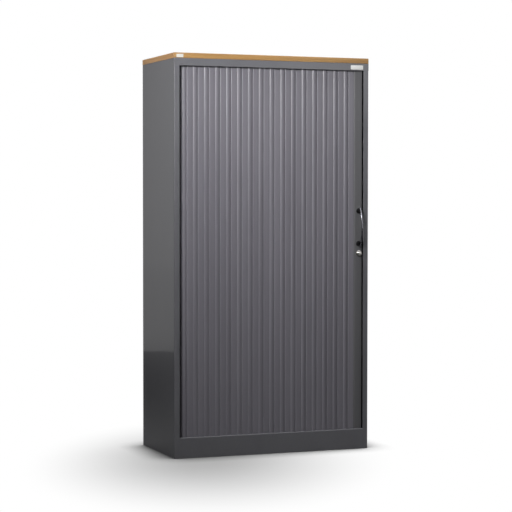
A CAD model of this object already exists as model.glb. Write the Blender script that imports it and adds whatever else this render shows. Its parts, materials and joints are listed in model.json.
# %% [markdown]
# # A tambour door cabinet, dressed
# The cabinet is a tall office cabinet of folded sheet steel. One curtain of upright plastic slats closes it.
# The curtain is pulled to the left by a bow handle and runs round a corner into the side of the cabinet.
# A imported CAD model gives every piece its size, place and motion. This lesson gives them their finish: it
# makes the visible shapes finer, paints each surface with a procedural material and sets up a plain studio.
#
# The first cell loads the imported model. Its boxes are read before anything is added, because the dressed
# cabinet has to keep its size.

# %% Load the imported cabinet
import json
import math

import bmesh
import bpy
from mathutils import Matrix, Vector


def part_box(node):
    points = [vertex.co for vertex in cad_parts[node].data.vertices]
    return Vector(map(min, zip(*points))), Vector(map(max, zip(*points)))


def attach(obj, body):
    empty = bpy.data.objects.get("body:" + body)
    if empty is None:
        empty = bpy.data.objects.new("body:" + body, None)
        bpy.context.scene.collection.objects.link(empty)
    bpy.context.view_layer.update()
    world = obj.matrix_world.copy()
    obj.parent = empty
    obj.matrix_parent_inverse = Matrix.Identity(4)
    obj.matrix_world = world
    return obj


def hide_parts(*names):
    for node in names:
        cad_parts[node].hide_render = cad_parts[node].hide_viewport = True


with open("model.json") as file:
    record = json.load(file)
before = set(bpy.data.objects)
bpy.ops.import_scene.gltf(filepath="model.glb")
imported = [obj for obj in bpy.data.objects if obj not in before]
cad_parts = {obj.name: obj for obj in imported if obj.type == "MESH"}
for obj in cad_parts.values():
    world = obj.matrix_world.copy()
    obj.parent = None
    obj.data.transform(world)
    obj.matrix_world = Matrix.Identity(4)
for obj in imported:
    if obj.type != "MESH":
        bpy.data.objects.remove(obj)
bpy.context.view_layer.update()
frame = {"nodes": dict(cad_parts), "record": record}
MM = 0.001

# %% [markdown]
# ## The camera
# The photograph shows the cabinet from a little to the left, at chest height, through a long lens: its
# upright edges stay upright and its level edges run together slowly. A camera was fitted to the corners of
# the body, so the values below are real distances, from the floor under the middle of the cabinet with its
# handle. A wider lens from nearer by would frame the cabinet too, but it would splay the edges.

# %% Camera
CAMERA_PLACE = Vector((-2.9953, -7.7643, 1.2371))
CAMERA_TILT = math.radians(87.982)
CAMERA_ROLL = math.radians(-0.046)
CAMERA_YAW = math.radians(-21.093)
CAMERA_LENS = 118.92

camera = bpy.data.objects.new("camera", bpy.data.cameras.new("camera"))
camera.data.lens = CAMERA_LENS
camera.location = CAMERA_PLACE
camera.rotation_euler = (CAMERA_TILT, CAMERA_ROLL, CAMERA_YAW)
bpy.context.scene.collection.objects.link(camera)
bpy.context.scene.camera = camera
print(f"camera {CAMERA_PLACE.length:.2f} m away, lens {CAMERA_LENS} mm")

# %% [markdown]
# ## Colours and nodes
# Colours are noted down as sRGB hex values, as a colour card gives them. Blender calculates with linear
# light, so one function turns them over. A small function adds a node with its settings and its inputs,
# which keeps every material below as short as its recipe. The shader's own inputs are set in the same way.
#
# Patterns use object coordinates. Every piece is drawn in the cabinet's own frame, so they are metres, and a
# noise scale of one over a length gives blotches of about that length. The patterns move with their piece.
#
# Two steps come back in several recipes. Drawn materials need noise that is stretched, with one size along
# each axis. And noise rarely leaves the range from 0.3 to 0.7, so before it mixes two colours or sets a
# roughness, that middle part is spread until both ends show.

# %% Colour and node helpers
def linear(code):
    """An sRGB hex colour as linear light."""
    shares = [int(code[i : i + 2], 16) / 255 for i in (1, 3, 5)]
    return (*[s / 12.92 if s <= 0.04045 else ((s + 0.055) / 1.055) ** 2.4 for s in shares], 1.0)


def set_inputs(tree, node, inputs):
    """Sets a node's inputs. Each takes a value, or the socket that it is linked to."""
    for name, value in inputs.items():
        if isinstance(value, bpy.types.NodeSocket):
            tree.links.new(value, node.inputs[name])
        else:
            node.inputs[name].default_value = value


def add_node(tree, kind, inputs=None, **settings):
    """A node with its settings and its inputs."""
    node = tree.nodes.new(kind)
    for name, value in settings.items():
        setattr(node, name, value)
    set_inputs(tree, node, inputs or {})
    return node


def new_finish(name, metallic=0.0):
    """An empty material: its node tree, its shader and its object coordinates."""
    material = bpy.data.materials.new(name)
    material.use_nodes = True
    tree = material.node_tree
    shader = tree.nodes["Principled BSDF"]
    shader.inputs["Metallic"].default_value = metallic
    place = add_node(tree, "ShaderNodeTexCoord").outputs["Object"]
    return material, tree, shader, place


finishes = {}
print("anthracite as linear light:", [round(x, 3) for x in linear("#5D5D61")])

# %% Stretched noise and mixed tones
NOISE_MIDDLE = (0.3, 0.7)
FINE_RELIEF = 0.1 * MM
RELIEF = 0.2 * MM


def stretched(tree, place, sizes, detail, distortion=0.0):
    """Noise whose blotches have their own size along each axis."""
    scaled = {"Vector": place, "Scale": [1 / size for size in sizes]}
    mapped = add_node(tree, "ShaderNodeMapping", scaled).outputs[0]
    noise = {"Vector": mapped, "Scale": 1.0, "Detail": detail, "Distortion": distortion}
    return add_node(tree, "ShaderNodeTexNoise", noise).outputs["Fac"]


def spread(pattern, low, high, middle=NOISE_MIDDLE):
    """The inputs of a Map Range node that turns the middle part of a pattern into low to high."""
    return {0: pattern, 1: middle[0], 2: middle[1], 3: low, 4: high}


def tinted(tree, pattern, middle, first, second, most=1.0):
    """Two colours mixed by the middle part of a pattern. The last value limits the second colour's share."""
    share = add_node(tree, "ShaderNodeMapRange", spread(pattern, 0.0, most, middle)).outputs[0]
    return add_node(tree, "ShaderNodeMix", {0: share, 6: first, 7: second}, data_type="RGBA").outputs[2]


print(f"noise is spread from {NOISE_MIDDLE}, relief is {FINE_RELIEF / MM} or {RELIEF / MM} mm")

# %% [markdown]
# ## Powder coat
# The body is mild steel, folded and then powder coated. The powder is sprayed on dry and melts in an oven to
# a thin satin skin. It never levels out quite flat: close up it has the fine dimples of orange peel, about
# 1 mm across, and the grey drifts a little over a hand's width. A flat colour with a shine would look like
# plastic. So two close greys are mixed by a fine noise and a wide one, and the fine one also tilts the
# surface. The dimples are drawn at 3 mm, because 1 mm would be too fine to show at this distance.
#
# The melted skin is smoother on top than in its depth. A thin clear coat gives the pale reflection that the
# side shows at a flat angle. The same recipe, a shade darker and duller, serves for the inside.

# %% Powder coated steel, outside and inside
PEEL_SIZE = 3.0 * MM
PEEL_TILT = 0.12
DRIFT_SIZE = 110 * MM
DRIFT_SHARE = 0.45
DULLNESS_DRIFT = 0.02
POWDER_IOR = 1.5
SKIN_ROUGHNESS = 0.06


def powder_coat(name, dark, pale, roughness, skin):
    """Powder coated steel from two close greys."""
    material, tree, shader, place = new_finish(name)
    fine = {"Vector": place, "Scale": 1 / PEEL_SIZE, "Detail": 1.0}
    peel = add_node(tree, "ShaderNodeTexNoise", fine).outputs["Fac"]
    wide = {"Vector": place, "Scale": 1 / DRIFT_SIZE, "Detail": 2.0}
    drift = add_node(tree, "ShaderNodeTexNoise", wide).outputs["Fac"]
    blend = add_node(tree, "ShaderNodeMix", {0: DRIFT_SHARE, 2: peel, 3: drift}).outputs[0]
    dull = spread(drift, roughness - DULLNESS_DRIFT, roughness + DULLNESS_DRIFT)
    relief = {"Strength": PEEL_TILT, "Distance": RELIEF, "Height": peel}
    looks = {
        "Base Color": tinted(tree, blend, (0.36, 0.64), linear(dark), linear(pale)),
        "Roughness": add_node(tree, "ShaderNodeMapRange", dull).outputs[0],
        "Normal": add_node(tree, "ShaderNodeBump", relief).outputs[0],
        "IOR": POWDER_IOR,
        "Coat Weight": skin,
        "Coat Roughness": SKIN_ROUGHNESS,
    }
    set_inputs(tree, shader, looks)
    return material


finishes["anthracite"] = powder_coat("anthracite_powder_coat", "#5D5D61", "#636367", 0.36, 0.45)
finishes["inner_grey"] = powder_coat("grey_powder_coat_inside", "#525255", "#5D5D60", 0.56, 0.0)
print("powder coats:", finishes["anthracite"].name, finishes["inner_grey"].name)

# %% [markdown]
# ## Extruded slats
# The slats are rigid PVC, pressed through a steel die as one long profile and cut to length. The die leaves
# fine lines along the whole slat, less than 0.5 mm apart, and the cooling plastic varies a little in tone.
# Both run upright, so the noise is stretched along z until it becomes streaks. The streaks are drawn 2 mm
# wide so that they show. The surface is satin, and its grey has a touch of violet.

# %% Extruded satin plastic
STREAK_WIDTH = 2.0 * MM
STREAK_LENGTH = 900 * MM
TONE_WIDTH = 70 * MM
TONES_PER_METRE = 0.6
STREAK_SHINE = 0.04
STREAK_DULLNESS = 0.06


def extruded(name, dark, pale, roughness, streaks):
    """A profile with die lines along z."""
    material, tree, shader, place = new_finish(name)
    lines = stretched(tree, place, (STREAK_WIDTH, STREAK_WIDTH, STREAK_LENGTH), 2.0)
    tone = stretched(tree, place, (TONE_WIDTH, TONE_WIDTH, 1 / TONES_PER_METRE), 1.0)
    blend = add_node(tree, "ShaderNodeMix", {0: 0.5, 2: lines, 3: tone}).outputs[0]
    dull = spread(lines, roughness - STREAK_SHINE, roughness + STREAK_DULLNESS)
    relief = {"Strength": streaks, "Distance": FINE_RELIEF, "Height": lines}
    looks = {
        "Base Color": tinted(tree, blend, (0.35, 0.65), linear(dark), linear(pale)),
        "Roughness": add_node(tree, "ShaderNodeMapRange", dull).outputs[0],
        "Normal": add_node(tree, "ShaderNodeBump", relief).outputs[0],
    }
    set_inputs(tree, shader, looks)
    return material


finishes["slat_plastic"] = extruded("extruded_pvc_slat", "#6B6970", "#737178", 0.32, 0.15)
print("slats:", finishes["slat_plastic"].name)

# %% [markdown]
# ## Lacquered profile
# The stiff strip at the right end of the curtain is extruded aluminium under a satin lacquer. The lacquer
# fills the die lines almost completely, and its grey is neutral and darker than the slats. The recipe of the
# slats fits, with fainter lines.

# %% Lacquered aluminium
finishes["profile_lacquer"] = extruded("lacquered_aluminium", "#58585A", "#5E5E60", 0.42, 0.05)
print("profile:", finishes["profile_lacquer"].name)

# %% [markdown]
# ## Beech laminate
# The top is chipboard under a printed beech laminate, with edging of the same print. Beech has long, quiet
# fibres about 1 mm wide, warm bands of a few millimetres and short dark flecks where its rays are cut. The
# light is drawn along the grain: three noises are stretched along it, one for each of these. The fibres are
# drawn a little coarser than real, at 1.6 mm, so that the edge still shows lines. The edging on the sides
# runs front to back and is a shade paler, so the function takes the direction of the grain and its two
# tones.
#
# A thin rough clear coat stands for the resin film over the edging. The large face is matt melamine, pressed
# against a dull sheet so that no lamp dazzles on it. Even a faint mirror burns out at a flat angle, so film
# and mirror are both left out there.

# %% Beech laminate
GRAIN_LENGTH = 450 * MM
BAND_WIDTH = 9 * MM
FIBRE_WIDTH = 1.6 * MM
FIBRE_BROWN = "#84603A"
FLECK_LENGTH = 5 * MM
FLECK_WIDTH = 1.1 * MM
FLECK_BROWN = "#6E4C2C"
GRAIN_WAVE = 0.35
FIBRE_TILT = 0.10
FIBRE_ROUGHNESS = (0.38, 0.48)
FILM_ROUGHNESS = 0.30


def beech(name, along, band_dark, band_pale, film=0.25, mirror=0.5):
    """Beech laminate whose grain runs along x (0) or y (1), under a resin film."""
    material, tree, shader, place = new_finish(name)

    def grain(length, width, detail):
        """Noise with its blotches drawn out along the grain."""
        sizes = [width] * 3
        sizes[along] = length
        return stretched(tree, place, sizes, detail, GRAIN_WAVE)

    bands = grain(GRAIN_LENGTH, BAND_WIDTH, 3.0)
    fibres = grain(GRAIN_LENGTH / 3, FIBRE_WIDTH, 2.0)
    flecks = grain(FLECK_LENGTH, FLECK_WIDTH, 0.0)
    banded = tinted(tree, bands, (0.30, 0.70), linear(band_dark), linear(band_pale))
    lined = tinted(tree, fibres, (0.35, 0.75), banded, linear(FIBRE_BROWN), 0.45)
    dull = spread(fibres, *FIBRE_ROUGHNESS)
    relief = {"Strength": FIBRE_TILT, "Distance": FINE_RELIEF, "Height": fibres}
    looks = {
        "Base Color": tinted(tree, flecks, (0.62, 0.74), lined, linear(FLECK_BROWN), 0.35),
        "Roughness": add_node(tree, "ShaderNodeMapRange", dull).outputs[0],
        "Normal": add_node(tree, "ShaderNodeBump", relief).outputs[0],
        "Coat Weight": film,
        "Coat Roughness": FILM_ROUGHNESS,
        "Specular IOR Level": mirror,
    }
    set_inputs(tree, shader, looks)
    return material


finishes["beech"] = beech("beech_laminate", 0, "#916D3E", "#AA854F")
finishes["beech_across"] = beech("beech_edging_across", 1, "#BC8A52", "#D6A66E")
finishes["beech_face"] = beech("beech_melamine_face", 0, "#916D3E", "#AA854F", 0.0, 0.0)
print("wood:", [finishes[slot].name for slot in ("beech", "beech_across", "beech_face")])

# %% [markdown]
# ## Metals
# Three metals show bare. The lock is brass under polished nickel and chrome: nearly a mirror, a little warm,
# with hairlines from wiping. Brackets, feet, hook and screws are zinc plated steel, which is duller and
# clouded where the plating grew in patches. The bow is die-cast zinc under a thin smoky lacquer: it is dark
# where it mirrors the room and bright where it meets a lamp. A metal keeps the default IOR, because its
# colour already says how much it reflects.

# %% Chrome, zinc plate and smoky lacquer
HAIRS_PER_PATCH = 8
WIPED = 0.8
HAZY = 1.25


def bare_metal(name, dark, pale, roughness, patch):
    """A metal surface with patches of two tones, and hairlines in its polish."""
    material, tree, shader, place = new_finish(name, metallic=1.0)
    clouds = {"Vector": place, "Scale": 1 / patch, "Detail": 3.0}
    cloud = add_node(tree, "ShaderNodeTexNoise", clouds).outputs["Fac"]
    hairlines = {"Vector": place, "Scale": HAIRS_PER_PATCH / patch, "Detail": 4.0, "Distortion": 2.0}
    hair = add_node(tree, "ShaderNodeTexNoise", hairlines).outputs["Fac"]
    dull = spread(hair, roughness * WIPED, roughness * HAZY)
    looks = {
        "Base Color": tinted(tree, cloud, (0.35, 0.65), linear(dark), linear(pale)),
        "Roughness": add_node(tree, "ShaderNodeMapRange", dull).outputs[0],
    }
    set_inputs(tree, shader, looks)
    return material


finishes["chrome"] = bare_metal("polished_chrome", "#D8D5D0", "#E6E4E0", 0.16, 6 * MM)
finishes["zinc"] = bare_metal("zinc_plated_steel", "#A3A5A9", "#B7B9BC", 0.36, 8 * MM)
finishes["bow_lacquer"] = bare_metal("smoky_lacquer_on_zinc", "#98989F", "#A4A4AB", 0.24, 3 * MM)
print("metals:", [finishes[slot].name for slot in ("chrome", "zinc", "bow_lacquer")])

# %% [markdown]
# ## Small plastics, felt, plate and label
# The posts, tracks and runners are black nylon from an eroded mould, with a grain of about 0.5 mm that
# scatters the shine. The closing seal is a strip of black felt, which is all fibre and has no skin that
# could mirror, so its specular level is 0. The plate on the rail is white enamelled aluminium and the label
# on the wood is coated paper. Both are bare here. All four are one colour with a grain of their own size,
# so they share a function. The grains are drawn at 1 mm or more, because finer ones don't show.

# %% Grained plastics, felt, enamel and paper
def grained(name, dark, pale, roughness, grain, relief, mirror=0.5):
    """A surface of two close tones whose grain also tilts it."""
    material, tree, shader, place = new_finish(name)
    grains = {"Vector": place, "Scale": 1 / grain, "Detail": 3.0}
    noise = add_node(tree, "ShaderNodeTexNoise", grains).outputs["Fac"]
    tones = {0: noise, 6: linear(dark), 7: linear(pale)}
    tilt = {"Strength": relief, "Distance": RELIEF, "Height": noise}
    looks = {
        "Base Color": add_node(tree, "ShaderNodeMix", tones, data_type="RGBA").outputs[2],
        "Roughness": roughness,
        "Normal": add_node(tree, "ShaderNodeBump", tilt).outputs[0],
        "Specular IOR Level": mirror,
    }
    set_inputs(tree, shader, looks)
    return material


finishes["black_plastic"] = grained("black_nylon", "#050505", "#0B0B0C", 0.46, 1.0 * MM, 0.25, 0.15)
finishes["black_seal"] = grained("black_felt", "#050505", "#0B0B0B", 1.0, 1.5 * MM, 0.8, 0.0)
finishes["plate_white"] = grained("white_enamel", "#C4C4C2", "#CCCCCA", 0.30, 4 * MM, 0.05)
finishes["label_paper"] = grained("coated_paper", "#B8B8B5", "#C6C6C3", 0.60, 1.0 * MM, 0.10)
print("small finishes:", [finishes[slot].name for slot in ("black_plastic", "black_seal", "plate_white")])

# %% [markdown]
# ## How a piece comes into the scene
# The record says which body every CAD node belongs to and which material slot it has, so a dressed piece
# only names its node. It rides on the same body, takes the slot's finish and stands for the node.
#
# A shape drawn by code has hard edges, and no real edge is that sharp: powder coat runs round it, a die
# rounds it, a file breaks it. A narrow broken edge catches a thread of light, and that thread tells the eye
# that the piece is solid. Blender's Bevel modifier does this, with the Weighted Normal modifier after it to
# keep the wide faces flat.

# %% Show a piece
SHARP_ANGLE = math.radians(35)
WELD = 0.01 * MM
EDGE_BREAK = 0.3 * MM

bodies = frame["record"]["behaviour"]["bodies"]
body_of = {node: body for body, members in bodies.items() for node in members}
slot_of = {part["node"]: part["material_slot"] for part in frame["record"]["subparts"]}


def mesh_of(name, shape):
    """A mesh from a bmesh: faces point out, and only real creases stay sharp."""
    bmesh.ops.recalc_face_normals(shape, faces=shape.faces)
    mesh = bpy.data.meshes.new(name)
    shape.to_mesh(mesh)
    shape.free()
    mesh.shade_smooth()
    mesh.set_sharp_from_angle(angle=SHARP_ANGLE)
    return mesh


def show(name, mesh, node, finish=None, stands_for=True, edge=0.0):
    """Puts a mesh in the scene, riding with a CAD node's body and with its finish."""
    piece = bpy.data.objects.new(name, mesh)
    bpy.context.scene.collection.objects.link(piece)
    mesh.materials.clear()
    mesh.materials.append(finishes[finish or slot_of[node]])
    if edge:
        bevel = piece.modifiers.new("broken_edges", "BEVEL")
        bevel.width = edge
        bevel.segments = 2
        bevel.limit_method = "ANGLE"
        bevel.angle_limit = SHARP_ANGLE
        flat = piece.modifiers.new("flat_faces", "WEIGHTED_NORMAL")
        flat.keep_sharp = True
    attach(piece, body_of[node])
    if stands_for:
        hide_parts(node)
    return piece


# %% [markdown]
# ## Sheet steel
# Side panels, rail, plinth, trays, liners, shelves and brackets are folded from 1 mm sheet, and the CAD
# already has their folds with the right bend radius. What they lack is the finish of an edge. They could be
# drawn again, but a copy is more faithful: its triangles are joined to flat faces, so that a bevel finds the
# true edges, and then every edge is broken by 0.3 mm.
#
# The plinth butts against the round folds of the two stiles. A fold curves away from a straight end, and the
# white room would shine through the slit. So both ends of the plinth are drawn 1 mm into the folds.

# %% Sheet pieces with broken edges
SHEET_NODES = [
    "left_side_panel",
    "right_side_panel",
    "top_rail",
    "plinth",
    "roof_tray",
    "base_tray",
    "back_liner",
    "inner_floor",
    "back_panel",
    "strike_plate",
    "top_track",
    "bottom_track",
    "top_runner",
    "bottom_runner",
    "closing_seal",
    "lock_hook",
]
SHEET_NODES += [node for node in slot_of if node.startswith("shelf_")]
FLAT_ANGLE = math.radians(1)
PLINTH_TUCK = 1.0 * MM


def node_copy(node):
    """A CAD node's shape, with its triangles joined to flat faces."""
    shape = bmesh.new()
    shape.from_mesh(frame["nodes"][node].data)
    bmesh.ops.remove_doubles(shape, verts=shape.verts, dist=WELD)
    bmesh.ops.dissolve_limit(shape, angle_limit=FLAT_ANGLE, verts=shape.verts, edges=shape.edges)
    return shape


for node in SHEET_NODES:
    sheet = node_copy(node)
    faces = len(sheet.faces)
    if node == "plinth":
        for corner in sheet.verts:
            corner.co.x += math.copysign(PLINTH_TUCK, corner.co.x)
    show(f"{node}_finished", mesh_of(node, sheet), node, edge=EDGE_BREAK)
    print(f"{node}: {faces} faces")

# %% [markdown]
# ## Blocks, joining and cutting
# The other pieces are drawn from simple solids. Three helpers do most of the work: one makes a box between
# two corners, one puts closed solids into one mesh, and one cuts a mesh with another. The cut is a Boolean
# modifier with the exact solver. Its result is kept as a plain mesh and the two work objects are removed, so
# nothing invisible stays in the scene.

# %% Solid helpers
def block(low, high):
    """A box between two corners."""
    shape = bmesh.new()
    low, high = Vector(low), Vector(high)
    place = Matrix.Translation((low + high) / 2) @ Matrix.Diagonal((*(high - low), 1.0))
    bmesh.ops.create_cube(shape, size=1.0, matrix=place)
    return shape


def joined(shapes):
    """Several shapes as one, each still closed by itself."""
    whole = bmesh.new()
    for shape in shapes:
        part = bpy.data.meshes.new("part")
        shape.to_mesh(part)
        whole.from_mesh(part)
        bpy.data.meshes.remove(part)
        shape.free()
    return whole


def cut(mesh, tool):
    """A mesh with another one cut out of it."""
    things = [bpy.data.objects.new("work", mesh), bpy.data.objects.new("tool", tool)]
    for thing in things:
        bpy.context.scene.collection.objects.link(thing)
    change = things[0].modifiers.new("cut", "BOOLEAN")
    change.operation = "DIFFERENCE"
    change.solver = "EXACT"
    change.object = things[1]
    ready = things[0].evaluated_get(bpy.context.evaluated_depsgraph_get())
    result = bpy.data.meshes.new_from_object(ready)
    for thing in things:
        bpy.data.objects.remove(thing)
    result.shade_smooth()
    result.set_sharp_from_angle(angle=SHARP_ANGLE)
    return result


print("a block has", len(block((0, 0, 0), (1, 1, 1)).faces), "faces")

# %% [markdown]
# ## Brush strip
# The curtain slips behind the left stile, and the photograph shows a black line between the two. On such a
# cabinet that is a strip of brush pile on the stile's fold. It keeps dust out and stops the slats from
# rattling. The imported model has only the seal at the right, so the strip at the left is added here. It is as
# tall as that seal, sits on the stile and stays in front of the ribs' crests.

# %% Brush strip at the left stile
BRUSH_WIDTH = 2.6 * MM
BRUSH_DEPTH = 9.0 * MM

seal_low, seal_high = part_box("closing_seal")
stile_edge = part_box("plinth")[0].x
brush = block(
    (stile_edge, seal_low.y, seal_low.z),
    (stile_edge + BRUSH_WIDTH, seal_low.y + BRUSH_DEPTH, seal_high.z),
)
show("left_brush", mesh_of("left_brush", brush), "left_side_panel", "black_seal", False, EDGE_BREAK)
print(f"brush strip {(seal_high.z - seal_low.z):.3f} m tall")

# %% [markdown]
# ## Perforated liners
# The shelf brackets hook into slots that are punched in the liners at both sides, at a pitch of 25 mm. The
# slots show when the curtain is open. A dark pattern in the material would look painted, so the slots are
# really cut: one Boolean takes all of them at once, which is quicker than one for each.

# %% Cut slots in the liners
SLOT_PITCH = 25 * MM
SLOT_WIDTH = 4 * MM
SLOT_HEIGHT = 12 * MM
SLOT_INSET = 38 * MM
SLOT_MARGIN = 40 * MM

floor_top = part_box("inner_floor")[1].z
for node in ("left_liner", "right_liner"):
    low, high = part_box(node)
    slots = []
    rows = int((high.z - floor_top - 2 * SLOT_MARGIN) / SLOT_PITCH)
    for depth in (low.y + SLOT_INSET, high.y - SLOT_INSET):
        for row in range(rows + 1):
            middle = floor_top + SLOT_MARGIN + row * SLOT_PITCH
            slots.append(
                block(
                    (low.x - SLOT_WIDTH, depth - SLOT_WIDTH / 2, middle - SLOT_HEIGHT / 2),
                    (high.x + SLOT_WIDTH, depth + SLOT_WIDTH / 2, middle + SLOT_HEIGHT / 2),
                )
            )
    liner = cut(mesh_of(node, node_copy(node)), mesh_of("slots", joined(slots)))
    show(f"{node}_perforated", liner, node)
    print(f"{node}: {len(slots)} slots")

# %% [markdown]
# ## Wood top
# The board is a core with a strip of edging, 2 mm thick, glued round it. The edging is trimmed with a round
# cutter, so its long outer edges are round, and a fine line stays where it meets the laminate. One rounded
# box would miss that line and would turn the grain the wrong way at the sides. So the board is a core and
# four strips, and each strip has its outer edges rounded by a bevel on just those edges.

# %% Board with edging
EDGING = 2.0 * MM
EDGING_RADIUS = 1.2 * MM
JOINT_BREAK = 0.25 * MM
ROUND_SEGMENTS = 4
NEARLY_ONE = 0.99


def round_edges(shape, radius, chosen):
    """Rounds the edges that a rule chooses."""
    edges = [edge for edge in shape.edges if chosen(edge)]
    bmesh.ops.bevel(shape, geom=edges, offset=radius, segments=ROUND_SEGMENTS, profile=0.5, affect="EDGES")
    return shape


def lies_on(axis, place):
    """A rule: both ends of the edge are at this place along an axis."""
    return lambda edge: all(abs(corner.co[axis] - place) < WELD for corner in edge.verts)


def runs_along(axis):
    """A rule: the edge runs along an axis."""
    return lambda edge: abs((edge.verts[0].co - edge.verts[1].co).normalized()[axis]) > NEARLY_ONE


low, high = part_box("wood_top")
inner_low = Vector((low.x + EDGING, low.y + EDGING, low.z))
inner_high = Vector((high.x - EDGING, high.y - EDGING, high.z))
core = round_edges(block(inner_low, inner_high), JOINT_BREAK, lambda edge: not runs_along(2)(edge))
show("wood_core", mesh_of("wood_core", core), "wood_top", "beech_face")

for name, side in (("front", low.y), ("back", high.y)):
    near, far = sorted((side, inner_low.y if name == "front" else inner_high.y))
    strip = block((low.x, near, low.z), (high.x, far, high.z))
    round_edges(strip, EDGING_RADIUS, lies_on(1, side))
    show(f"wood_edging_{name}", mesh_of("edging", strip), "wood_top", stands_for=False)

for name, side in (("left", low.x), ("right", high.x)):
    near, far = sorted((side, inner_low.x if name == "left" else inner_high.x))
    strip = block((near, inner_low.y, low.z), (far, inner_high.y, high.z))
    round_edges(strip, EDGING_RADIUS, lambda edge: lies_on(0, side)(edge) and runs_along(1)(edge))
    piece = show(f"wood_edging_{name}", mesh_of("edging", strip), "wood_top", "beech_across", False)
print(f"board {high.x - low.x:.3f} by {high.y - low.y:.3f} m, {(high.z - low.z) / MM:.0f} mm thick")

# %% [markdown]
# ## Plate and label
# A white enamelled plate sits on the rail at the right, and a small paper label is stuck on the front
# edging at the left. Both are thin rectangles with rounded corners. The corners are rounded first, and then
# the rim of the face, which gives the plate the pillowed edge of pressed metal. Both stay bare.

# %% Bare plate and bare label
PLATE_CORNER = 3.0 * MM
PLATE_RIM = 0.5 * MM
LABEL_LEFT = 12 * MM
LABEL_WIDTH = 34 * MM
LABEL_HEIGHT = 16 * MM
LABEL_DROP = 6.5 * MM
LABEL_THICKNESS = 0.25 * MM
LABEL_CORNER = 1.0 * MM
LABEL_RIM = 0.08 * MM


def rounded_plate(low, high, corner, rim):
    """A thin plate that faces the front, with round corners and a softened face."""
    shape = round_edges(block(low, high), corner, runs_along(1))
    return round_edges(shape, rim, lies_on(1, low[1]))


low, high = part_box("badge_plate")
plate = rounded_plate(low, high, PLATE_CORNER, PLATE_RIM)
show("bare_plate", mesh_of("bare_plate", plate), "badge_plate")

board_low, board_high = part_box("wood_top")
label_top = board_high.z - LABEL_DROP
label = rounded_plate(
    (board_low.x + LABEL_LEFT, board_low.y - LABEL_THICKNESS, label_top - LABEL_HEIGHT),
    (board_low.x + LABEL_LEFT + LABEL_WIDTH, board_low.y, label_top),
    LABEL_CORNER,
    LABEL_RIM,
)
show("bare_label", mesh_of("bare_label", label), "wood_top", "label_paper", False)
print(f"plate {(high.x - low.x) / MM:.0f} by {(high.z - low.z) / MM:.0f} mm")

# %% [markdown]
# ## Curtain slats
# A slat is one extruded profile. From left to right it has a socket, a flat part, a shallow groove, a
# rounded rib and a bead that snaps into the next slat's socket. The light on the curtain comes from this
# outline alone: the rib's steep left side catches the light, its right side falls away slowly, and the joint
# stays dark. So the outline is worth its points. Arcs and two short formulas give it: a quarter of a sine
# wave up to the crest and a parabola down from it. Every slat leaves a slit of 1.3 mm at the joint. The one
# that turns into the corner opens its joint: its slit is wider, and the web that joins skin and bead dips
# behind the slit, so that the eye meets a dark channel and not a pale web.

# %% Outline of a slat
FLAT_SHARE = 0.4726
CREST_SHARE = 0.29
FALL_SHARE = 0.57
SOCKET_OUTSIDE = 3.0 * MM
SOCKET_INSIDE = 1.7 * MM
BEAD_RADIUS = 1.4 * MM
NECK = 1.2 * MM
SKIN_RISE = 3.6 * MM
SKIN_WALL = 1.6 * MM
CREST_RISE = 3.0 * MM
GROOVE = 1.0 * MM
JOINT_SLIT = 1.3 * MM
CORNER_SLIT = 4.4 * MM
CORNER_WEB_DROP = 4.0 * MM
CORNER_WEB_TURN = 20
LEFT_ROUNDING = 2.4 * MM
SOCKET_FOOT = 1.0 * MM
SOCKET_MOUTH = (-105, 165)
END_ROUND = 0.6 * MM
RIB_END = 0.97
RIB_STEPS = 12
RIB_INSIDE = (0.80, 0.62, 0.45, 0.25)
INSIDE_RISE = 1.5 * MM
TONGUE_HALF = 0.9 * MM

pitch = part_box("slat_02")[0].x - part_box("slat_01")[0].x
flat_width = pitch * FLAT_SHARE


def arc(centre, radius, start, end, steps):
    """Points along an arc, with angles in degrees."""
    angles = [math.radians(start + (end - start) * i / steps) for i in range(steps + 1)]
    return [(centre[0] + radius * math.cos(a), centre[1] + radius * math.sin(a)) for a in angles]


def rib_height(share):
    """How far the rib stands in front of the joint line, along its width."""
    if share < CREST_SHARE:
        return SKIN_RISE - GROOVE + (CREST_RISE + GROOVE) * math.sin(math.pi / 2 * share / CREST_SHARE)
    return SKIN_RISE + CREST_RISE * (1 - ((share - CREST_SHARE) / FALL_SHARE) ** 2)


def left_end():
    """Round the outside of the socket, back along its inside, and up onto the flat part."""
    meet = math.degrees(math.asin((SKIN_RISE - SKIN_WALL) / SOCKET_OUTSIDE))
    outside = arc((0, 0), SOCKET_OUTSIDE, meet, SOCKET_MOUTH[0], 14)
    inside = arc((0, 0), SOCKET_INSIDE, *SOCKET_MOUTH, 18)
    reach, rise = LEFT_ROUNDING + SOCKET_OUTSIDE, SKIN_RISE - SOCKET_FOOT
    turns = [math.pi / 2 * i / 10 for i in range(11)]
    shoulder = [(LEFT_ROUNDING - reach * math.cos(a), SOCKET_FOOT + rise * math.sin(a)) for a in turns]
    return outside + inside + shoulder


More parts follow.
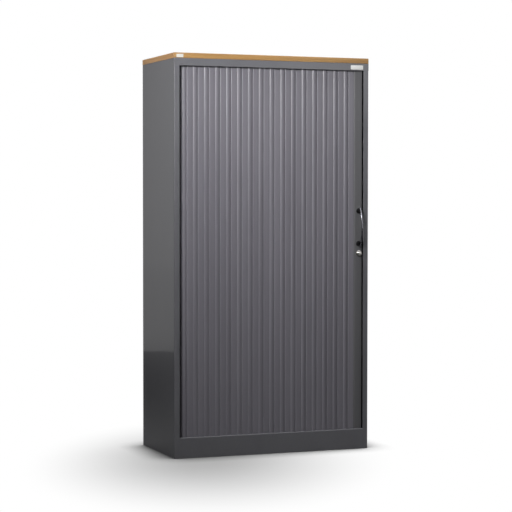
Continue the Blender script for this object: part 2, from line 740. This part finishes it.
def slat_outline(slit=JOINT_SLIT, drop=0.0, turn=0):
    """A whole slat, with y towards the front. Its web can dip behind the slit."""
    skin_end = pitch - SOCKET_OUTSIDE - slit
    rib_span = skin_end - flat_width
    groove = [
        (flat_width - 2 * GROOVE * (1 - i / 4), SKIN_RISE - GROOVE * math.sin(math.pi / 2 * i / 4) ** 2)
        for i in range(5)
    ]
    steps = range(1, RIB_STEPS + 1)
    shares = [i / RIB_STEPS * CREST_SHARE for i in steps]
    shares += [CREST_SHARE + (RIB_END - CREST_SHARE) * i / RIB_STEPS for i in steps]
    rib = [(flat_width + rib_span * share, rib_height(share)) for share in shares]
    end = arc((skin_end - END_ROUND, rib_height(1.0) - END_ROUND), END_ROUND, 65, 0, 5)
    bead_turn = math.degrees(math.asin(NECK / 2 / BEAD_RADIUS))
    bead = arc((pitch, 0), BEAD_RADIUS, 180 + turn - bead_turn, bead_turn + turn - 180, 16)
    under = [(skin_end - SKIN_WALL, -NECK / 2 - drop), (skin_end - 2 * SKIN_WALL, NECK / 2)]
    under += [(flat_width + rib_span * share, rib_height(share) - SKIN_WALL) for share in RIB_INSIDE]
    under += [(flat_width + 2 * GROOVE, SKIN_RISE - SKIN_WALL), (flat_width - 2 * GROOVE, INSIDE_RISE)]
    return groove + rib + end + [(skin_end, NECK / 2 - drop)] + bead + under + left_end()


def end_outline():
    """The last slat: a flat part and a tongue that slips into the leading profile."""
    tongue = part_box("end_slat")[1].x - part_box("end_slat")[0].x - SOCKET_OUTSIDE
    edge = flat_width - JOINT_SLIT
    points = [(edge, SKIN_RISE), (edge, TONGUE_HALF), (tongue, TONGUE_HALF), (tongue, -TONGUE_HALF)]
    points += [(edge - SKIN_WALL, -TONGUE_HALF), (edge - 2 * SKIN_WALL, SKIN_RISE - SKIN_WALL)]
    return points + left_end()


print(f"pitch {pitch / MM:.2f} mm, flat {flat_width / MM:.1f} mm, {len(slat_outline())} outline points")

# %% [markdown]
# ## Raising the curtain
# All whole slats share the outline, but each has its own mesh in the cabinet's frame, so that no two show
# the same streaks. A prism raises the outline to the height of the leading profile. Only the ends of the
# guide pins are added, because the rest is buried in the bead. They are turned, like the lock and the feet
# further down, so a lathe is drawn here too: a profile spun round the z axis. The corner slat stands between
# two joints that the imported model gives, and those two places give its turn.

# %% Raise the slats
PIN_RADIUS = 1.1 * MM
PIN_BURIED = 0.5 * MM


def prism(outline, low, high):
    """A plan outline raised from one height to another."""
    shape = bmesh.new()
    foot, head = ([shape.verts.new((x, y, z)) for x, y in outline] for z in (low, high))
    shape.faces.new(foot)
    shape.faces.new(head)
    for i in range(len(outline)):
        shape.faces.new((foot[i - 1], foot[i], head[i], head[i - 1]))
    return shape


def lathe(profile, steps=48):
    """A closed profile of (radius, height) points, turned round the z axis."""
    shape = bmesh.new()
    line = [shape.verts.new((radius, 0.0, height)) for radius, height in profile]
    pairs = zip(line, line[1:] + line[:1])
    sides = [shape.edges.new(pair) for pair in pairs if any(point.co.x for point in pair)]
    turn = {"cent": (0.0, 0.0, 0.0), "axis": (0.0, 0.0, 1.0), "angle": 2 * math.pi}
    bmesh.ops.spin(shape, geom=line + sides, steps=steps, use_merge=True, **turn)
    bmesh.ops.remove_doubles(shape, verts=shape.verts, dist=WELD)
    return shape


slat_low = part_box("leading_profile")[0].z
slat_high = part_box("leading_profile")[1].z
joint_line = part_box("slat_01")[1].y - SOCKET_OUTSIDE


def pin_end(low, high, tip):
    """One end of a guide pin, with its tip rounded over."""
    inner = tip - math.copysign(PIN_BURIED, tip - (low + high) / 2)
    root = low if tip == high else high
    profile = [(0.0, root), (PIN_RADIUS, root), (PIN_RADIUS, inner), (PIN_RADIUS / 2, tip), (0.0, tip)]
    shape = lathe(profile, 16)
    bmesh.ops.translate(shape, verts=shape.verts, vec=(pitch, 0.0, 0.0))
    return shape


def raise_slat(node, outline, place, turn=0.0, pins=True):
    """A slat in the cabinet's frame, standing on its joint line."""
    shapes = [prism([(x, -y) for x, y in outline], slat_low, slat_high)]
    if pins:
        pin_low, pin_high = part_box(node)[0].z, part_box(node)[1].z
        shapes += [pin_end(pin_low, slat_low, pin_low), pin_end(slat_high, pin_high, pin_high)]
    shape = joined(shapes)
    shape.transform(Matrix.Translation((place[0], place[1], 0.0)) @ Matrix.Rotation(turn, 4, "Z"))
    show(f"{node}_extruded", mesh_of(node, shape), node)


slat_nodes = sorted(node for node in slot_of if node.startswith("slat_"))
for node in slat_nodes:
    raise_slat(node, slat_outline(), (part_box(node)[0].x + SOCKET_OUTSIDE, joint_line))

first_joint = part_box("slat_01")[0].x + SOCKET_OUTSIDE
corner_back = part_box("corner_slat")[1].y - SOCKET_OUTSIDE
corner_turn = -math.asin((corner_back - joint_line) / pitch)
corner_left = first_joint - pitch * math.cos(corner_turn)
corner_outline = slat_outline(CORNER_SLIT, CORNER_WEB_DROP, CORNER_WEB_TURN)
raise_slat("corner_slat", corner_outline, (corner_left, corner_back), corner_turn)
raise_slat("end_slat", end_outline(), (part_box("end_slat")[0].x + SOCKET_OUTSIDE, joint_line), pins=False)
print(f"{len(slat_nodes)} whole slats, corner slat turned {math.degrees(corner_turn):.1f} degrees")

# %% [markdown]
# ## Leading profile
# The strip at the right end carries handle and lock. It is an extruded channel, open at the back. Its left
# shoulder rises from the last slat in a soft quarter of an ellipse, so the light changes gradually there,
# and its right edge is rounded. A sheet has two faces, so only its middle line is drawn and then moved to
# both sides by half the wall.

# %% Channel with a soft shoulder
PROFILE_WALL = 1.5 * MM
SHOULDER_WIDTH = 8.0 * MM
SHOULDER_DEPTH = 2.6 * MM
PROFILE_ROUNDING = 2.0 * MM
PROFILE_HOOK = 10 * MM
FLANGE_SHARE = 0.49
BARREL_RADIUS = 10 * MM
BARREL_REACH = 20 * MM
FACING_FRONT = Matrix.Rotation(math.pi / 2, 4, "X")


def offset_line(path, offset):
    """A line moved sideways, mitred at its corners."""
    ways = [(after - before).normalized() for before, after in zip(path, path[1:])]
    moved = []
    for here, before, after in zip(path, ways[:1] + ways, ways + ways[-1:]):
        sideways = Vector((-before.y, before.x))
        middle = (sideways + Vector((-after.y, after.x))).normalized()
        moved.append(here + middle * offset / middle.dot(sideways))
    return [(point.x, point.y) for point in moved]


def channel_line(low, high):
    """The channel's middle line in plan, from the left flange round to the hook at the back."""
    half = PROFILE_WALL / 2
    left, right, face, back = low.x + half, high.x - half, low.y + half, high.y - half
    turns = [math.pi / 2 * i / 8 for i in range(9)]
    line = [(left, low.y + (high.y - low.y) * FLANGE_SHARE)]
    line += [
        (left + SHOULDER_WIDTH * (1 - math.cos(a)), face + SHOULDER_DEPTH * (1 - math.sin(a)))
        for a in turns
    ]
    line += arc((right - PROFILE_ROUNDING, face + PROFILE_ROUNDING), PROFILE_ROUNDING, -90, 0, 6)
    line += arc((right - PROFILE_ROUNDING, back - PROFILE_ROUNDING), PROFILE_ROUNDING, 0, 90, 6)
    line += [(high.x - PROFILE_HOOK, back)]
    return [Vector(point) for point in line]


low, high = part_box("leading_profile")
middle_line = channel_line(low, high)
channel = offset_line(middle_line, PROFILE_WALL / 2) + offset_line(middle_line, -PROFILE_WALL / 2)[::-1]
barrel_low, barrel_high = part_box("lock_barrel")
lock_place = Vector(((barrel_low.x + barrel_high.x) / 2, low.y, (barrel_low.z + barrel_high.z) / 2))
hole_line = [(0.0, -BARREL_REACH), (BARREL_RADIUS, -BARREL_REACH)]
barrel_hole = lathe(hole_line + [(radius, -reach) for radius, reach in hole_line[::-1]])
barrel_hole.transform(Matrix.Translation(lock_place) @ FACING_FRONT)
profile = cut(mesh_of("profile", prism(channel, slat_low, slat_high)), mesh_of("hole", barrel_hole))
show("leading_profile_extruded", profile, "leading_profile")
print(f"profile {(high.x - low.x) / MM:.1f} mm wide, {(high.y - low.y) / MM:.1f} mm deep")

# %% [markdown]
# ## Bow handle
# The bow is a flat bar, bent to an arc that stands off the door, with square ends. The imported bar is 9 mm
# wide. The photograph shows it a little narrower, so the drawn one keeps the left edge and gives up 1.4 mm
# at the right. It could be a curve with a bevel, but rings of points give square ends with a softened rim:
# each ring is a rounded rectangle across the arc, and the last rings at both ends are a little smaller.

# %% Bow
BOW_THICKNESS = 6.0 * MM
BOW_ROUNDING = 1.8 * MM
BOW_RISE = 27.5 * MM
BOW_STEPS = 36
BOW_TRIM = 1.4 * MM
END_ROUNDING = 0.6 * MM

low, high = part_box("handle_bow")
bow_width = high.x - low.x - BOW_TRIM
bow_middle = (low + high) / 2
bow_middle.x = low.x + bow_width / 2
half_span = (high.z - low.z) / 2
bow_radius = (half_span**2 + BOW_RISE**2) / (2 * BOW_RISE)
bow_sweep = math.asin(half_span / bow_radius)
bow_centre = Vector((bow_middle.x, low.y + BOW_THICKNESS / 2 + bow_radius, bow_middle.z))


def bow_ring(angle, shrink):
    """A rounded rectangle across the bow, at an angle up from its middle."""
    half_width = bow_width / 2 - shrink
    half_thick = BOW_THICKNESS / 2 - shrink
    outward = Vector((0.0, -math.cos(angle), math.sin(angle)))
    points = []
    for number, (side, face) in enumerate(((1, 1), (-1, 1), (-1, -1), (1, -1))):
        centre = (side * (half_width - BOW_ROUNDING), face * (half_thick - BOW_ROUNDING))
        points += arc(centre, BOW_ROUNDING, 90 * number, 90 * number + 90, 4)
    return [bow_centre + outward * (bow_radius + y) + Vector((x, 0.0, 0.0)) for x, y in points]


def tube(rings):
    """Skins rings of points, and closes both ends."""
    shape = bmesh.new()
    loops = [[shape.verts.new(point) for point in ring] for ring in rings]
    for first, second in zip(loops, loops[1:]):
        for i in range(len(first)):
            shape.faces.new((first[i - 1], first[i], second[i], second[i - 1]))
    shape.faces.new(loops[0])
    shape.faces.new(loops[-1])
    return shape


tuck = END_ROUNDING / bow_radius
stations = [(-bow_sweep, END_ROUNDING), (-bow_sweep + tuck / 3, END_ROUNDING / 3)]
stations += [
    (-bow_sweep + tuck + (2 * bow_sweep - 2 * tuck) * i / BOW_STEPS, 0.0) for i in range(BOW_STEPS + 1)
]
stations += [(bow_sweep - tuck / 3, END_ROUNDING / 3), (bow_sweep, END_ROUNDING)]
bow = tube([bow_ring(angle, shrink) for angle, shrink in stations])
show("handle_bow_bent", mesh_of("handle_bow", bow), "handle_bow")
print(f"bow of radius {bow_radius / MM:.0f} mm over {math.degrees(2 * bow_sweep):.0f} degrees")

# %% [markdown]
# ## Posts
# Two tapered posts of black nylon carry the bow. Each is turned, with a small lip at its foot. Its head has
# to follow the back of the arc, so every point of the head that would reach into the bow is moved back to
# the arc behind it. That is simpler than a Boolean and leaves an even gap.

# %% Posts under the bow
POST_BASE = 13.0 * MM
POST_TOP = 8.5 * MM
POST_REACH = 45.5 * MM
POST_LIP = 1.2 * MM
POST_TAPER = 0.8
POST_STEPS = 24
SEAT_GAP = 0.3 * MM

door_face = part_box("leading_profile")[0].y


def post(node):
    """A tapered post, whose head follows the back of the bow."""
    low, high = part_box(node)
    height = (low.z + high.z) / 2
    heights = [POST_LIP + (POST_REACH - POST_LIP) * i / POST_STEPS for i in range(POST_STEPS + 1)]
    profile = [(0.0, SEAT_GAP), (POST_BASE - POST_LIP / 2, SEAT_GAP), (POST_BASE, SEAT_GAP + POST_LIP / 2)]
    profile += [
        (POST_BASE + (POST_TOP - POST_BASE) * (reach / POST_REACH) ** POST_TAPER, reach + SEAT_GAP)
        for reach in heights
    ]
    shape = lathe(profile + [(0.0, heights[-1] + SEAT_GAP)], 48)
    shape.transform(Matrix.Translation(((low.x + high.x) / 2, door_face, height)) @ FACING_FRONT)
    behind = bow_radius - BOW_THICKNESS / 2 - SEAT_GAP
    for corner in shape.verts:
        rise = corner.co.z - bow_centre.z
        corner.co.y = max(corner.co.y, bow_centre.y - math.sqrt(behind**2 - rise**2))
    bmesh.ops.remove_doubles(shape, verts=shape.verts, dist=WELD)
    show(f"{node}_moulded", mesh_of(node, shape), node)


for node in ("handle_post_upper", "handle_post_lower"):
    post(node)

# %% [markdown]
# ## Lock
# A cam lock sits below the handle: a cylinder with a nose and a flange, and a plug inside it that the key
# turns. Everything is turned on a lathe, so it is drawn as profiles and spun. Small roundings at every step
# matter more than anything else here, because a mirror shows nothing but its edges. The plug belongs to the
# lock's own body, so that it turns with the hook behind the door.

# %% Cylinder and plug
FLANGE_RADIUS = 15 * MM
FLANGE_THICKNESS = 3.0 * MM
BORE_RADIUS = 7.2 * MM
NOSE_ROUNDING = 1.4 * MM
FLANGE_ROUNDING = 1.2 * MM
KEYWAY = (1.8 * MM, 8.0 * MM, 6.0 * MM)
PLUG_RADIUS = 6.9 * MM
PLUG_TAIL = 3.5 * MM
FILLET = 0.8 * MM

nose_reach = door_face - barrel_low.y
tail = barrel_high.y - door_face
cylinder = [(BORE_RADIUS, -tail), (BARREL_RADIUS - SEAT_GAP, -tail), (BARREL_RADIUS - SEAT_GAP, SEAT_GAP)]
cylinder += [(FLANGE_RADIUS - SEAT_GAP, SEAT_GAP), (FLANGE_RADIUS, 2 * SEAT_GAP)]
flange_face = SEAT_GAP + FLANGE_THICKNESS
cylinder += arc((FLANGE_RADIUS - FLANGE_ROUNDING, flange_face - FLANGE_ROUNDING), FLANGE_ROUNDING, 0, 90, 6)
cylinder += arc((BARREL_RADIUS + FILLET, flange_face + FILLET), FILLET, 270, 180, 5)
cylinder += arc((BARREL_RADIUS - NOSE_ROUNDING, nose_reach - NOSE_ROUNDING), NOSE_ROUNDING, 0, 90, 6)
cylinder += [(BORE_RADIUS + SEAT_GAP, nose_reach), (BORE_RADIUS, nose_reach - SEAT_GAP)]
barrel = lathe(cylinder, 64)
at_lock = Matrix.Translation((lock_place.x, door_face, lock_place.z)) @ FACING_FRONT
barrel.transform(at_lock)
show("lock_barrel_turned", mesh_of("lock_barrel", barrel), "lock_barrel")

plug_low, plug_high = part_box("lock_plug")
front, back = door_face - plug_low.y, door_face - plug_high.y
hook_face = door_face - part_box("lock_hook")[0].y + SEAT_GAP
turned = [(0.0, back), (PLUG_TAIL, back), (PLUG_TAIL, hook_face), (PLUG_RADIUS, hook_face)]
turned += arc((PLUG_RADIUS - FILLET, front - FILLET), FILLET, 0, 90, 5) + [(0.0, front)]
plug = lathe(turned, 64)
plug.transform(at_lock)
width, height, depth = KEYWAY
keyway = block(
    (lock_place.x - width / 2, plug_low.y - depth, lock_place.z - height / 2),
    (lock_place.x + width / 2, plug_low.y + depth, lock_place.z + height / 2),
)
show("lock_plug_turned", cut(mesh_of("lock_plug", plug), mesh_of("keyway", keyway)), "lock_plug")
print(f"lock nose reaches {nose_reach / MM:.1f} mm, plug {front / MM:.1f} mm")

# %% [markdown]
# ## Levelling feet
# Four levelling feet stand inside the plinth: a disc of zinc plate under a hexagon that takes a spanner, on
# a threaded stem. They are hidden until the cabinet is tipped, so the thread is a stack of turned grooves
# and no true helix.

# %% Levelling feet
FOOT_RADIUS = 20 * MM
FOOT_ROUNDING = 2 * MM
FOOT_SIDE = 5 * MM
FOOT_SLOPE = 3 * MM
FOOT_THICKNESS = 8 * MM
HEX_RADIUS = 9.0 * MM
HEX_TOP = 18 * MM
THREAD_RADIUS = 5.0 * MM
THREAD_DEPTH = 0.6 * MM
THREAD_PITCH = 1.5 * MM


def foot(node):
    """A foot: disc, hexagon and a stem with turned grooves for its thread."""
    low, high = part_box(node)
    core = THREAD_RADIUS - THREAD_DEPTH
    pad = [(0.0, 0.0), (FOOT_RADIUS - FOOT_ROUNDING, 0.0), (FOOT_RADIUS, FOOT_ROUNDING)]
    pad += [(FOOT_RADIUS, FOOT_SIDE), (FOOT_RADIUS - FOOT_SLOPE, FOOT_THICKNESS), (0.0, FOOT_THICKNESS)]
    stem = [(0.0, HEX_TOP)]
    for i in range(int((high.z - HEX_TOP) / THREAD_PITCH)):
        stem += [(core, HEX_TOP + i * THREAD_PITCH), (THREAD_RADIUS, HEX_TOP + (i + 0.5) * THREAD_PITCH)]
    stem += [(core, high.z), (0.0, high.z)]
    nut = [(0.0, FOOT_THICKNESS), (HEX_RADIUS, FOOT_THICKNESS), (HEX_RADIUS, HEX_TOP), (0.0, HEX_TOP)]
    shape = joined([lathe(pad), lathe(nut, 6), lathe(stem, 24)])
    centre = (low + high) / 2
    bmesh.ops.translate(shape, verts=shape.verts, vec=(centre.x, centre.y, 0.0))
    show(f"{node}_turned", mesh_of(node, shape), node)


feet = [node for node in slot_of if node.startswith("levelling_foot")]
for node in feet:
    foot(node)
print(len(feet), "feet")

# %% [markdown]
# ## Rivets and screws
# The back panel is held by blind rivets through the rear flanges, and the strike plate by two screws. The
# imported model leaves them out, so they ride on the body of the piece that they hold. The screws have low
# heads, because the turned hook of the lock stands only about 1 mm off the plate.

# %% Rivets and screws
RIVET_RADIUS = 3.2 * MM
RIVET_RISE = 1.1 * MM
RIVET_INSET = 11 * MM
RIVET_PITCH = 180 * MM
RIVET_MARGIN = 60 * MM
SCREW_RADIUS = 3.6 * MM
SCREW_RISE = 0.9 * MM
SCREW_INSET = 5 * MM
HEAD_SHAPE = ((0, 0), (1, 0), (1, 0.3), (0.8, 0.8), (0.45, 1), (0.35, 1), (0.3, 0.5), (0, 0.5))


def dome(radius, rise):
    """A domed head with a dimple, standing on the z = 0 plane."""
    return lathe([(radius * x, rise * z) for x, z in HEAD_SHAPE], 20)


def show_heads(name, node, places, radius, rise, turn):
    """Domed heads at several places as one piece of zinc plate."""
    heads = [dome(radius, rise) for place in places]
    for head, place in zip(heads, places):
        head.transform(Matrix.Translation(place) @ turn)
    show(name, mesh_of(name, joined(heads)), node, "zinc", False)
    print(f"{name}: {len(places)} heads")


panel_low, panel_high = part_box("left_side_panel")
columns = (panel_low.x + RIVET_INSET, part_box("right_side_panel")[1].x - RIVET_INSET)
count = int((panel_high.z - 2 * RIVET_MARGIN) / RIVET_PITCH) + 1
heights = [panel_high.z / 2 + (row - (count - 1) / 2) * RIVET_PITCH for row in range(count)]
places = [(across, panel_high.y, height) for across in columns for height in heights]
facing_back = Matrix.Rotation(-math.pi / 2, 4, "X")
show_heads("back_rivets", "back_panel", places, RIVET_RADIUS, RIVET_RISE, facing_back)

low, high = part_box("strike_plate")
heights = (low.z + SCREW_INSET, high.z - SCREW_INSET)
places = [(high.x, (low.y + high.y) / 2, height) for height in heights]
facing_right = Matrix.Rotation(math.pi / 2, 4, "Y")
show_heads("strike_screws", "strike_plate", places, SCREW_RADIUS, SCREW_RISE, facing_right)

# %% [markdown]
# ## Studio
# The cabinet stands on a pale floor that runs out into white. A photographer would light such a sweep until
# it burns out, but that light would spoil the cabinet. Here the white is a colour instead. The camera's own
# rays see a white world, and they see the floor's paint lifted by a little white of its own. Inside an
# ellipse round the cabinet the floor keeps its soft shadow, and a smooth step turns it white further out.
#
# Close to the plinth both kinds of white fade away, because the cabinet shades the floor there. That gives
# the soft contact shadow. An ambient occlusion node tells how much of the room above the floor is open: at
# the foot of a wall it is half.
#
# All other rays see a darker grey paint and a dim room, so that little light comes back up from the floor.
# The sheet steel in the photograph mirrors a room that is much darker than its background: its side drops to
# a dark grey below knee height. A white room in that mirror would wash the grey out.

# %% Floor
FLOOR_SIZE = 40.0
FLOOR_SINK = 0.2 * MM
FLOOR_LIFT = 0.27
CONTACT_REACH = 150 * MM
WALL_FOOT_SHARE = 0.5
SHADE_MIDDLE = (-0.35, -0.30, 0.0)
SHADE_REACH = (0.88, 1.52, 1.0)

floor_shape = bmesh.new()
bmesh.ops.create_grid(floor_shape, x_segments=8, y_segments=8, size=FLOOR_SIZE / 2)
floor = bpy.data.objects.new("floor", mesh_of("floor", floor_shape))
floor.location.z = -FLOOR_SINK
bpy.context.scene.collection.objects.link(floor)

floor_paint = bpy.data.materials.new("white_sweep")
floor_paint.use_nodes = True
tree = floor_paint.node_tree
tree.nodes.clear()
camera_ray = add_node(tree, "ShaderNodeLightPath").outputs["Is Camera Ray"]
place = add_node(tree, "ShaderNodeTexCoord").outputs["Object"]
ellipse = {"Location": SHADE_MIDDLE, "Rotation": (0.0, 0.0, CAMERA_YAW), "Scale": SHADE_REACH}
shade = add_node(tree, "ShaderNodeMapping", {"Vector": place, **ellipse}, vector_type="TEXTURE").outputs[0]
reach = add_node(tree, "ShaderNodeVectorMath", {0: shade}, operation="LENGTH").outputs["Value"]
far = add_node(tree, "ShaderNodeMapRange", {0: reach}, interpolation_type="SMOOTHSTEP").outputs[0]
paint = add_node(tree, "ShaderNodeBsdfDiffuse", {"Color": linear("#767676")}).outputs[0]
open_share = add_node(tree, "ShaderNodeAmbientOcclusion", {"Distance": CONTACT_REACH}).outputs["AO"]
clear = add_node(tree, "ShaderNodeMapRange", {0: open_share, 1: WALL_FOOT_SHARE}).outputs[0]
strength = add_node(tree, "ShaderNodeMath", {0: clear, 1: FLOOR_LIFT}, operation="MULTIPLY").outputs[0]
lift = add_node(tree, "ShaderNodeEmission", {"Strength": strength}).outputs[0]
near = add_node(tree, "ShaderNodeAddShader", {0: paint, 1: lift}).outputs[0]
white = add_node(tree, "ShaderNodeEmission", {"Strength": 1.0}).outputs[0]
burnt_out = add_node(tree, "ShaderNodeMath", {0: far, 1: clear}, operation="MULTIPLY").outputs[0]
shown = add_node(tree, "ShaderNodeMixShader", {0: burnt_out, 1: near, 2: white}).outputs[0]
dim = add_node(tree, "ShaderNodeBsdfDiffuse", {"Color": linear("#646464")}).outputs[0]
whole = add_node(tree, "ShaderNodeMixShader", {0: camera_ray, 1: dim, 2: shown}).outputs[0]
add_node(tree, "ShaderNodeOutputMaterial", {"Surface": whole})
floor.data.materials.append(floor_paint)
print(f"floor {FLOOR_SIZE:.0f} m wide, {FLOOR_SINK / MM:.1f} mm under the cabinet")

# %% World
AMBIENT = 0.08

world = bpy.data.worlds.new("white_room")
bpy.context.scene.world = world
world.use_nodes = True
tree = world.node_tree
tree.nodes.clear()
camera_ray = add_node(tree, "ShaderNodeLightPath").outputs["Is Camera Ray"]
glow = {"Color": linear("#FFFFFF"), "Strength": AMBIENT}
room = add_node(tree, "ShaderNodeBackground", glow).outputs[0]
white = add_node(tree, "ShaderNodeBackground", {**glow, "Strength": 1.0}).outputs[0]
seen = add_node(tree, "ShaderNodeMixShader", {0: camera_ray, 1: room, 2: white}).outputs[0]
add_node(tree, "ShaderNodeOutputWorld", {"Surface": seen})
print("world:", world.name, "with ambient light", AMBIENT)

# %% [markdown]
# ## Lamps
# The photograph is nearly twice as bright under the rail as above the plinth, and each rib is brighter on
# its left than on its right. A softbox is an area lamp: its size makes the shadows soft, and its distance
# sets how fast the light falls off down the front. So the key hangs near the cabinet, high in front of its
# left corner. Two boxes with a grid, which narrows their beam, brighten the top of the curtain from further
# left. A narrow overhead box draws the lip of the plinth and the board, and a weak fill opens the right side
# of the ribs.
#
# The left side is seen at a flat angle, and its clear coat mirrors what stands beside it. A tall faint box
# there gives it the pale sheen that ends in a step below knee height. Two washes light the back and the
# right side, which the photograph doesn't show. They aren't mirrored: the sharp image of a lamp in the coat
# would look like a hole in the sheet.

# %% Softboxes
SOFTBOXES = (
    # name, place, target, width, height, watts, beam in degrees, mirrored
    ("key", (-1.60, -1.90, 2.40), (0.0, -0.2, 1.5), 1.0, 0.7, 30, 180, True),
    ("gridded_left", (-2.70, -2.70, 2.90), (0.0, -0.2, 1.8), 0.9, 0.9, 6, 60, True),
    ("gridded_front", (-1.90, -2.90, 2.90), (0.0, -0.2, 1.8), 0.9, 0.9, 9, 60, True),
    ("overhead", (0.1, -0.45, 3.40), (0.1, -0.45, 0.0), 1.4, 0.4, 5, 45, True),
    ("fill", (0.90, -1.30, 2.10), (0.0, -0.2, 1.3), 0.9, 0.9, 2.2, 180, True),
    ("back_wash", (0.4, 3.0, 2.2), (0.1, 0.2, 1.0), 1.6, 1.8, 20, 80, False),
    ("right_wash", (3.2, 0.9, 2.0), (0.5, 0.1, 1.0), 1.4, 1.8, 26, 80, False),
    ("side_mirror", (-0.97, 1.21, 1.37), (-0.5, 0.0, 1.37), 0.5, 2.0, 1.05, 180, True),
)


def softbox(name, place, target, width, height, power, beam=180, mirrored=True):
    """A rectangular area lamp that looks at a point."""
    lamp = bpy.data.lights.new(name, "AREA")
    lamp.shape = "RECTANGLE"
    lamp.size = width
    lamp.size_y = height
    lamp.energy = power
    lamp.spread = math.radians(beam)
    holder = bpy.data.objects.new(name, lamp)
    holder.location = place
    holder.rotation_euler = (Vector(target) - Vector(place)).to_track_quat("-Z", "Y").to_euler()
    holder.visible_camera = False
    holder.visible_glossy = mirrored
    bpy.context.scene.collection.objects.link(holder)
    return holder


for box in SOFTBOXES:
    softbox(*box)
print("lamps:", [light.name for light in bpy.data.lights])

# %% [markdown]
# ## A card for the bare metal
# Chrome and lacquered metal are only as bright as what they mirror. A photographer holds up a white card for
# them: the plug's face and the upper half of the bow then turn pale, while the paint beside them should stay
# as it is. Light linking does that. The card is one more lamp, and it lights only the pieces in a collection
# of its own. Without it the lock would be a dark spot.

# %% Card that only the metal mirrors
CARD_PLACE = (2.96, -5.70, 2.1)
HANDLE_PLACE = (0.45, -0.25, 1.2)

card = softbox("metal_card", CARD_PLACE, HANDLE_PLACE, width=1.0, height=3.0, power=11)
mirrors = bpy.data.collections.new("bare_metal_at_the_front")
for name in ("handle_bow_bent", "lock_barrel_turned", "lock_plug_turned"):
    mirrors.objects.link(bpy.data.objects[name])
card.light_linking.receiver_collection = mirrors

# %% [markdown]
# ## Last checks
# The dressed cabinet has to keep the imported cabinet's size. Both boxes go to a small file, where they can be
# compared after each render. The view transform is Standard, so a colour comes out as it was mixed.

# %% Write the sizes and finish
bpy.context.scene.view_settings.view_transform = "Standard"
